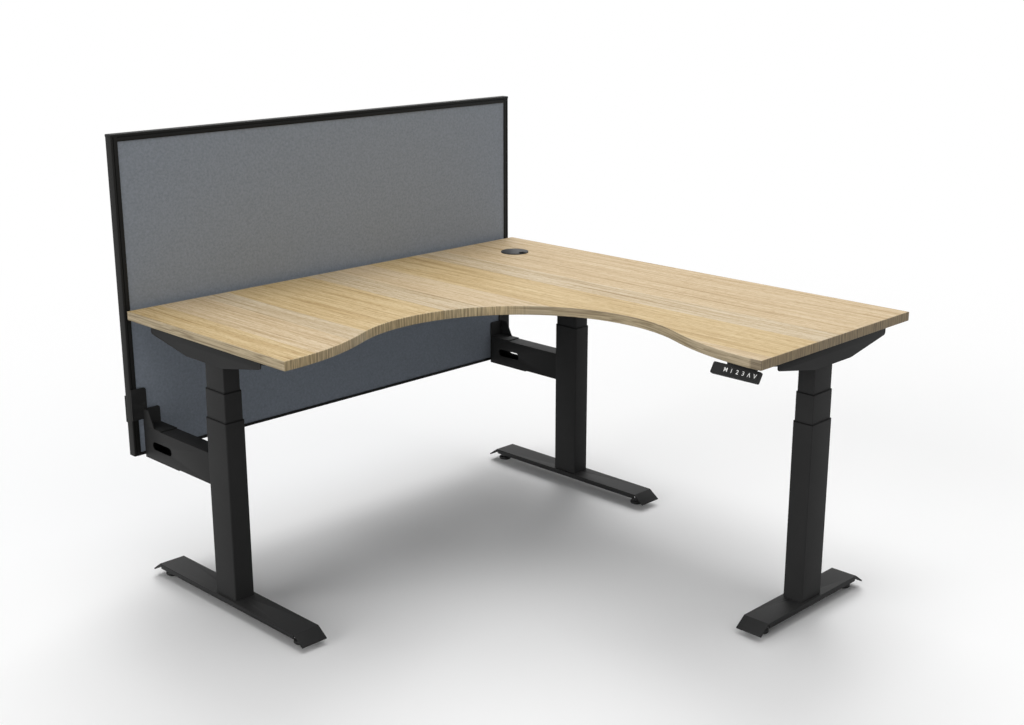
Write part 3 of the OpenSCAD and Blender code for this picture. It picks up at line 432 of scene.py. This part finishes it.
# Cable port. Two mouldings in black ABS with a fine spark-eroded texture: a flanged liner and a cap
# that turns in it, cut away at one side for the cables.
def black_finish(name, colours, roughness, specular, grain_mm, clouds, spread, relief):
    """An even colour in faint clouds, under a fine grain that breaks up the gloss."""
    material, tree, shader = start_finish(name, {"IOR": 1.5, "Specular IOR Level": specular})
    place = add_node(tree, "TexCoord").outputs["Object"]
    grit = add_node(tree, "TexNoise", inputs={"Vector": place, "Scale": 1 / mm(grain_mm), "Detail": 2.0})
    cloud_mm, detail = clouds
    cloud = add_node(tree, "TexNoise", inputs={
        "Vector": place, "Scale": 1 / mm(cloud_mm), "Detail": detail})
    shade = add_node(tree, "ValToRGB", inputs={"Fac": cloud.outputs["Fac"]},
                     stops=[(0.35, colours[0]), (0.65, colours[1])])
    tree.links.new(shade.outputs["Color"], shader.inputs["Base Color"])
    glossier, duller = spread
    rough = add_node(tree, "MapRange", inputs={
        0: grit.outputs["Fac"], 3: roughness - glossier, 4: roughness + duller})
    tree.links.new(rough.outputs[0], shader.inputs["Roughness"])
    strength, depth_mm = relief
    dents = add_node(tree, "Bump", inputs={
        "Strength": strength, "Distance": mm(depth_mm), "Height": grit.outputs["Fac"]})
    tree.links.new(dents.outputs[0], shader.inputs["Normal"])
    return material


def moulded(name, colours, roughness, grain_mm=0.9, specular=0.35):
    """Black moulded plastic: its spark-eroded grain, really 0.1 mm, is drawn coarser, to show."""
    return black_finish(name, colours, roughness, specular, grain_mm,
                        clouds=(110, 2.0), spread=(0.05, 0.07), relief=(0.2, 0.2))


port_abs = moulded("satin_black_abs", ("#2A2B2C", "#303132"), 0.5, specular=0.15)
eased("grommet_liner", 0.8, port_abs, steps=3)
eased("grommet_cap", 0.5, port_abs)


# Supports, rails, columns and feet. Folded and drawn steel with a fine matt black powder coat. The
# coat leaves a faint orange peel and rounds each edge, which then catches a soft line of light.
def powder_coat(name, colours, roughness=0.6, specular=0.13):
    """Fine matt powder coat: its grit is drawn at 1 mm, coarser than the real 0.3 mm, to show."""
    return black_finish(name, colours, roughness, specular, 1.0,
                        clouds=(170, 3.0), spread=(0.06, 0.08), relief=(0.25, 0.3))


black_coat = powder_coat("matt_black_powder_coat", ("#292929", "#2D2D2D"))
for node in ("left_support", "corner_support", "right_support", "left_rails", "right_rails"):
    eased(node, 0.8, black_coat)
for leg in ("left", "corner", "right"):
    for stage in ("inner", "middle", "outer"):
        eased(leg + "_" + stage + "_tube", 0, black_coat)
    eased(leg + "_foot", 1.0, black_coat)

# Collars. Each stage slides in a moulded nylon ring that caps the tube below it. The nylon is darker and
# duller than the coat, so that the ring reads as a dark seam.
collar_nylon = moulded("black_nylon_collar", ("#0D0D0D", "#101010"), 0.6, specular=0.1)
for node in ("left_middle_collar", "corner_middle_collar", "right_middle_collar",
             "outer_collars", "right_outer_collar"):
    eased(node, 0.3, collar_nylon)


# Levelling glides. A turned steel stem in black zinc, moulded into a black nylon shoe that slides on
# the floor.
black_zinc = mottled("black_zinc_plate", {"Metallic": 0.6}, 4.5, 3.0,
                     [(0.35, "#1D1D1E"), (0.65, "#29292A")], roughness=(0.38, 0.5))

SHOE_TOP_MM = 10.3
shoe_nylon = moulded("black_nylon_shoe", ("#1A1A1A", "#1E1E1E"), 0.5)
for place_name in ("left_front", "left_rear", "corner_front", "corner_rear", "right_front", "right_rear"):
    glide = eased(place_name + "_glide", 0.6, shoe_nylon)
    glide.data.materials.append(black_zinc)
    for face in glide.data.polygons:
        face.material_index = 1 if face.center.z > mm(SHOE_TOP_MM) else 0

# Lift drive. Gearbox housings in die-cast aluminium, motors in drawn steel cans, and zinc-plated
# spindles with a rolled thread.
cast = mottled("die_cast_aluminium", {"Metallic": 0.9}, 2.5, 4.0,
               [(0.35, "#7E7F80"), (0.65, "#909293")], roughness=(0.45, 0.62), relief=(0.3, 0.5))
eased("gearboxes", 2.0, cast)
eased("lift_motors", 1.5, black_coat)

# A wave texture of scale 1 repeats every pi / 10 metres
WAVE_REPEAT = math.pi / 10
THREAD_PITCH_MM = 4
thread, tree, shader = start_finish("rolled_steel_thread", {"Metallic": 1.0, "Roughness": 0.32})
place = add_node(tree, "TexCoord").outputs["Object"]
rings = add_node(tree, "TexWave", {"wave_type": "BANDS", "bands_direction": "Z"},
                 {"Vector": place, "Scale": WAVE_REPEAT / mm(THREAD_PITCH_MM)})
# The rings are darker in the thread's roots and lighter on its crests: painted shade and painted
# highlight over the bump
shade = add_node(tree, "ValToRGB", inputs={"Fac": rings.outputs["Fac"]},
                 stops=[(0.1, "#6F7070"), (0.6, "#B5B7B6")])
tree.links.new(shade.outputs["Color"], shader.inputs["Base Color"])
cut = add_node(tree, "Bump", inputs={
    "Strength": 0.8, "Distance": mm(1), "Height": rings.outputs["Fac"]})
tree.links.new(cut.outputs[0], shader.inputs["Normal"])
dress(["upper_spindles", "lower_spindles", "right_lower_spindle"], thread)


# Screen frame. Extruded aluminium with a narrow groove along its face and a satin black coat: two
# posts, a top rail over them and a thin sill.
satin_black = powder_coat("satin_black_coated_aluminium", ("#1A1A19", "#1E1E1D"), 0.55)
for node in ("left_post", "right_post", "top_rail", "bottom_rail"):
    eased(node, 0.4, satin_black)

# Screen arms and brackets. Box section with a slot laser-cut through it for cables, and brackets
# welded from 3 mm plate, in the same powder coat as the legs.
for node in ("left_arm", "corner_arm", "left_bracket", "corner_bracket", "clamp_plates"):
    eased(node, 0.6, black_coat)


# Screen panel. Each side is a thin tile wrapped in a plain woven wool cloth in a heathered grey,
# pressed into the frame against the core, so that it rises in a soft roll beside the frame.
cloth, tree, shader = start_finish("grey_wool_panel_cloth", {
    "Roughness": 0.95, "IOR": 1.45, "Specular IOR Level": 0.05,
    "Sheen Weight": 0.05, "Sheen Roughness": 0.5})
place = add_node(tree, "TexCoord").outputs["Object"]
# The real threads are 0.9 mm apart, drawn at 3 mm, which is as fine as shows
THREAD_MM = 3.0
weave = []
for axis in ("X", "Z"):
    weave.append(add_node(tree, "TexWave", {"wave_type": "BANDS", "bands_direction": axis}, {
        "Vector": place, "Scale": WAVE_REPEAT / mm(THREAD_MM), "Distortion": 0.6, "Detail": 1.0,
        "Detail Scale": 3.0}).outputs["Fac"])
crossed = add_node(tree, "Math", {"operation": "MULTIPLY"}, {0: weave[0], 1: weave[1]})
heather = add_node(tree, "TexNoise", inputs={"Vector": place, "Scale": 1 / mm(7), "Detail": 4.0,
                                             "Roughness": 0.7})
shade = add_node(tree, "ValToRGB", inputs={"Fac": heather.outputs["Fac"]}, stops=[
    (0.30, "#99A2AD"), (0.50, "#A4ADB9"), (0.70, "#B0B8C6")])
threads = add_node(tree, "ValToRGB", inputs={"Fac": crossed.outputs[0]}, stops=[
    (0.0, "#EFEFEF"), (0.6, "#FFFFFF")])
woven = add_node(tree, "Mix", {"data_type": "RGBA", "blend_type": "MULTIPLY"},
                 {0: 0.8, 6: shade.outputs["Color"], 7: threads.outputs["Color"]})
tree.links.new(woven.outputs[2], shader.inputs["Base Color"])
raised = add_node(tree, "Bump", inputs={
    "Strength": 0.4, "Distance": mm(0.6), "Height": crossed.outputs[0]})
tree.links.new(raised.outputs[0], shader.inputs["Normal"])

# The cloth's thickness, what is turned in at the edge, how far the panel rises and how soon, and the
# flat strip that the frame's lip holds down
CLOTH_MM = 0.7
RETURN_MM = 6.0
CROWN_MM = 1.4
CROWN_REACH_MM = 14
LIP_MM = 6.0
CELLS_WIDE = 150
CELLS_TALL = 88
CLOTH_FOLD_DEG = 40
low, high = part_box("fabric_tiles")
for name, face_y, outward in (("cloth_cover_front", low.y, -1), ("cloth_cover_rear", high.y, 1)):
    bpy.ops.object.select_all(action="DESELECT")
    bpy.ops.mesh.primitive_grid_add(x_subdivisions=CELLS_WIDE, y_subdivisions=CELLS_TALL, size=1)
    cover = bpy.context.object
    cover.name = name
    wide, tall = high.x - low.x, high.z - low.z
    for v in cover.data.vertices:
        across, up = v.co.x + 0.5, v.co.y + 0.5
        from_edge = min(across, 1 - across) * wide, min(up, 1 - up) * tall
        inward = max(0.0, min(from_edge) - mm(LIP_MM))
        crown = mm(CROWN_MM) * (1 - math.exp(-inward / mm(CROWN_REACH_MM)))
        v.co = (low.x + across * wide, face_y + outward * crown, low.z + up * tall)
    edit(cover)
    bpy.ops.mesh.normals_make_consistent(inside=False)
    bpy.ops.mesh.select_all(action="SELECT")
    bpy.ops.mesh.region_to_loop()
    bpy.ops.mesh.extrude_region_move(TRANSFORM_OT_translate={"value": (0, -outward * mm(RETURN_MM), 0)})
    bpy.ops.mesh.select_all(action="SELECT")
    bpy.ops.mesh.normals_make_consistent(inside=False)
    bpy.ops.object.mode_set(mode="OBJECT")
    wall = cover.modifiers.new("cloth_thickness", "SOLIDIFY")
    wall.thickness = mm(CLOTH_MM)
    wall.offset = -1
    bpy.ops.object.modifier_apply(modifier=wall.name)
    finish_piece(cover, cloth, body="base", smooth=CLOTH_FOLD_DEG)
    if outward < 0:
        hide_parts("fabric_tiles")

# The core that both tiles are pressed against, in raw fibreboard with a fine felted surface
fibreboard = mottled("raw_fibreboard", {"Roughness": 0.85, "IOR": 1.45}, 1.5, 4.0,
                     [(0.3, "#7F7260"), (0.7, "#968871")])
dress(["screen_core"], fibreboard)


# Bolts and screws. Cold-formed steel with a low button head and a hexagon socket: black zinc where
# the screen and the feet are bolted, bright zinc under the top.
SOCKET_SHARE = 0.52
SOCKET_DEPTH_SHARE = 0.6
FLAT_SHARE = 0.72
HEXAGON = 6
HEAD_SIDES = 24
# The head's dome from its flat down to its seat, as shares of its radius and of its height
DOME = ((0.90, 0.78), (1.0, 0.42), (1.0, 0.0))


def button_bolt(name, head_d, head_h, shank_d, length):
    """One bolt along Z with its seat at the origin and its head above, bridged from hexagon to round."""
    radius = mm(head_d) / 2
    crown = (0, 0, mm(head_h))
    bpy.ops.object.select_all(action="DESELECT")
    bpy.ops.mesh.primitive_circle_add(vertices=HEXAGON, radius=radius * SOCKET_SHARE, location=crown)
    bolt = bpy.context.object
    bolt.name = name
    bpy.ops.object.transform_apply()
    bpy.ops.object.mode_set(mode="EDIT")
    bpy.ops.mesh.primitive_circle_add(vertices=HEAD_SIDES, radius=radius * FLAT_SHARE, location=crown)
    bpy.ops.mesh.select_all(action="SELECT")
    bpy.ops.mesh.bridge_edge_loops()

    def take_ring(share, height):
        """Selects the ring of points at a share of the head's radius and a height."""
        bpy.ops.mesh.select_mode(type="VERT")
        bpy.ops.mesh.select_all(action="DESELECT")
        bpy.ops.object.mode_set(mode="OBJECT")
        for v in bolt.data.vertices:
            off = abs(v.co.xy.length - radius * share), abs(v.co.z - height)
            v.select = max(off) < mm(WELD_MM)
        bpy.ops.object.mode_set(mode="EDIT")

    take_ring(SOCKET_SHARE, mm(head_h))
    socket_depth = mm(head_h) * SOCKET_DEPTH_SHARE
    bpy.ops.mesh.extrude_region_move(TRANSFORM_OT_translate={"value": (0, 0, -socket_depth)})
    bpy.ops.mesh.edge_face_add()
    ring = FLAT_SHARE, 1.0
    for wide, up in DOME + ((shank_d / head_d, 0.0), (shank_d / head_d, -length / head_h)):
        take_ring(ring[0], mm(head_h) * ring[1])
        rise = mm(head_h) * (up - ring[1])
        bpy.ops.mesh.extrude_region_move(TRANSFORM_OT_translate={"value": (0, 0, rise)})
        grow = wide / ring[0]
        bpy.ops.transform.resize(value=(grow, grow, 1), center_override=(0, 0, 0))
        ring = wide, up
    bpy.ops.mesh.edge_face_add()
    bpy.ops.mesh.select_all(action="SELECT")
    bpy.ops.mesh.normals_make_consistent(inside=False)
    bpy.ops.object.mode_set(mode="OBJECT")
    return bolt


# The plain head's flat end as a share of its width, and how near a face has to come to its area
PLAIN_END_SHARE = 0.75
END_SLACK = 0.08


def fit_bolts(node, material, head_d, head_h, shank_d):
    """Puts a copy of a modelled bolt where the CAD has a plain one, by the flat end of its head."""
    end_area = math.pi * (mm(head_d) * PLAIN_END_SHARE / 2) ** 2
    plain = merged_copy(node, node + "_plain")
    edit(plain)
    bpy.ops.mesh.separate(type="LOOSE")
    bpy.ops.object.mode_set(mode="OBJECT")
    patterns = {}
    fitted = []
    for part in list(bpy.context.selected_objects):
        ends = [face for face in part.data.polygons if abs(face.area / end_area - 1) < END_SLACK]
        if len(ends) != 1:
            fitted.append(part)
            continue
        out = ends[0].normal.copy()
        top = max(v.co.dot(out) for v in part.data.vertices)
        length = top - min(v.co.dot(out) for v in part.data.vertices) - mm(head_h)
        length_mm = round(length * MM_PER_M, 2)
        if length_mm not in patterns:
            patterns[length_mm] = button_bolt(node + "_pattern", head_d, head_h, shank_d, length_mm)
        bolt = bpy.data.objects.new(node + "_part", patterns[length_mm].data.copy())
        bpy.context.scene.collection.objects.link(bolt)
        bolt.data.transform(Matrix.Translation(ends[0].center - out * mm(head_h))
                            @ out.to_track_quat("Z", "Y").to_matrix().to_4x4())
        fitted.append(bolt)
        bpy.data.objects.remove(part)
    for pattern in patterns.values():
        bpy.data.objects.remove(pattern)
    bpy.ops.object.select_all(action="DESELECT")
    for part in fitted:
        part.select_set(True)
    bpy.context.view_layer.objects.active = fitted[0]
    bpy.ops.object.join()
    fitted[0].name = node + "_formed"
    return finish_piece(fitted[0], material, node=node)


zinc = mottled("bright_zinc_plate", {"Metallic": 1.0}, 6, 3.0,
               [(0.35, "#A9ABAB"), (0.65, "#C2C4C3")], roughness=(0.28, 0.42))

# Head width, head height and shank in mm
BOLT_MM = (10.5, 3.3, 6)
SCREW_MM = (9, 3, 4.5)
fit_bolts("base_bolts", black_zinc, *BOLT_MM)
dress(["right_foot_bolts"], black_zinc)
fit_bolts("frame_bolts", zinc, *BOLT_MM)
fit_bolts("worktop_screws", zinc, *SCREW_MM)


# Control box. A case in black ABS with screw ears, three sockets in one end and the mains inlet in the
# other.
case_abs = moulded("textured_black_abs", ("#1E1E1E", "#232323"), 0.5, grain_mm=1.4)
eased("control_box", 1.5, case_abs)

# Handset. A flat bar in black ABS that leans to the user, with a dark window over its display at the
# left and six keys whose signs are printed in white.
handset_abs = moulded("fine_black_abs", ("#1A1A1A", "#1E1E1E"), 0.55, specular=0.2)
eased("handset_body", 0.5, handset_abs)

key_film = mottled("satin_key_film", {"IOR": 1.5, "Specular IOR Level": 0.2}, 0.8, 2.0,
                   [(0.3, "#1B1B1B"), (0.7, "#1F1F1F")], roughness=(0.38, 0.46))
white_ink = mottled("white_screen_print", {"IOR": 1.5, "Specular IOR Level": 0.3, "Roughness": 0.5},
                    1.2, 2.0, [(0.3, "#E4E4E2"), (0.6, "#F4F4F2")])

FACE_TILT_DEG = 32
FACE_TILT = math.radians(FACE_TILT_DEG)
face_right = Vector((0, -1, 0))
face_up = Vector((math.sin(FACE_TILT), 0, math.cos(FACE_TILT)))
face_out = face_right.cross(face_up)
# The key's thickness, and a sign's height, its ink and how much that fattens the strokes. The ink is
# thicker than real, to stand clear of the key. A capital is CAPITAL_SHARE of the size of its type
KEY_T_MM = 2.2
SIGN_H_MM = 11.2
SIGN_T_MM = 0.12
SIGN_STROKE_MM = 0.12
INK_WELD_MM = 0.001
CAPITAL_SHARE = 0.72
SIGNS = [
    # the key, its sign, and whether the sign is turned upside down
    ("key_memory", "M", False), ("key_one", "1", False), ("key_two", "2", False),
    ("key_three", "3", False), ("key_up", "V", True), ("key_down", "V", False)]


def on_face(centre):
    """The place and turn of something flat that lies on the handset's face."""
    turn = Matrix((face_right, face_up, face_out)).transposed().to_4x4()
    return Matrix.Translation(centre) @ turn


for node, sign, turned in SIGNS:
    low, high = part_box(node)
    eased(node, 0.25, key_film)
    bpy.ops.object.select_all(action="DESELECT")
    bpy.ops.object.text_add()
    printed = bpy.context.object
    printed.data.body = sign
    printed.data.extrude = mm(SIGN_T_MM) / 2
    printed.data.offset = mm(SIGN_STROKE_MM)
    printed.data.size = mm(SIGN_H_MM) / CAPITAL_SHARE
    bpy.ops.object.convert(target="MESH")
    printed.name = node + "_sign"
    corners = [v.co.copy() for v in printed.data.vertices]
    middle = Vector([(min(c[i] for c in corners) + max(c[i] for c in corners)) / 2 for i in range(3)])
    top = (low + high) / 2 + face_out * (mm(KEY_T_MM) / 2 + mm(SIGN_T_MM) / 2)
    half_turn = Matrix.Rotation(math.pi, 4, "Z") if turned else Matrix.Identity(4)
    printed.data.transform(on_face(top) @ half_turn @ Matrix.Translation(-middle))
    edit(printed)
    bpy.ops.mesh.remove_doubles(threshold=mm(INK_WELD_MM))
    bpy.ops.object.mode_set(mode="OBJECT")
    finish_piece(printed, white_ink, body=node + "_body")

# The display's window: clear acrylic, printed black behind, set almost flush
window_acrylic = mottled("smoked_acrylic_window", {"IOR": 1.49, "Specular IOR Level": 0.25}, 17, 1.0,
                         [(0.3, "#171718"), (0.7, "#1B1B1C")], roughness=(0.3, 0.38))

# Its size, how far it lies from the first key, its corners, and how far its middle stands off the face
WINDOW_MM = (23, 21, 0.5)
WINDOW_FROM_KEY_MM = 24.5
WINDOW_R_MM = 2
WINDOW_UP_MM = 0.45
WINDOW_CORNER_STEPS = 5
low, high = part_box("key_memory")
bpy.ops.object.select_all(action="DESELECT")
bpy.ops.mesh.primitive_cube_add(size=1, scale=mm(*WINDOW_MM))
window = bpy.context.object
window.name = "display_window"
bpy.ops.object.transform_apply(scale=True)
edit(window)
bpy.ops.mesh.select_mode(type="EDGE")
bpy.ops.mesh.select_all(action="DESELECT")
bpy.ops.object.mode_set(mode="OBJECT")
for edge in window.data.edges:
    a, b = (window.data.vertices[i].co for i in edge.vertices)
    edge.select = abs(a.z - b.z) > mm(WINDOW_MM[2]) / 2
bpy.ops.object.mode_set(mode="EDIT")
bpy.ops.mesh.bevel(offset=mm(WINDOW_R_MM), segments=WINDOW_CORNER_STEPS, affect="EDGES")
bpy.ops.object.mode_set(mode="OBJECT")
centre = (low + high) / 2 - face_right * mm(WINDOW_FROM_KEY_MM) + face_out * mm(WINDOW_UP_MM)
window.data.transform(on_face(centre))
finish_piece(window, window_acrylic, body="top")
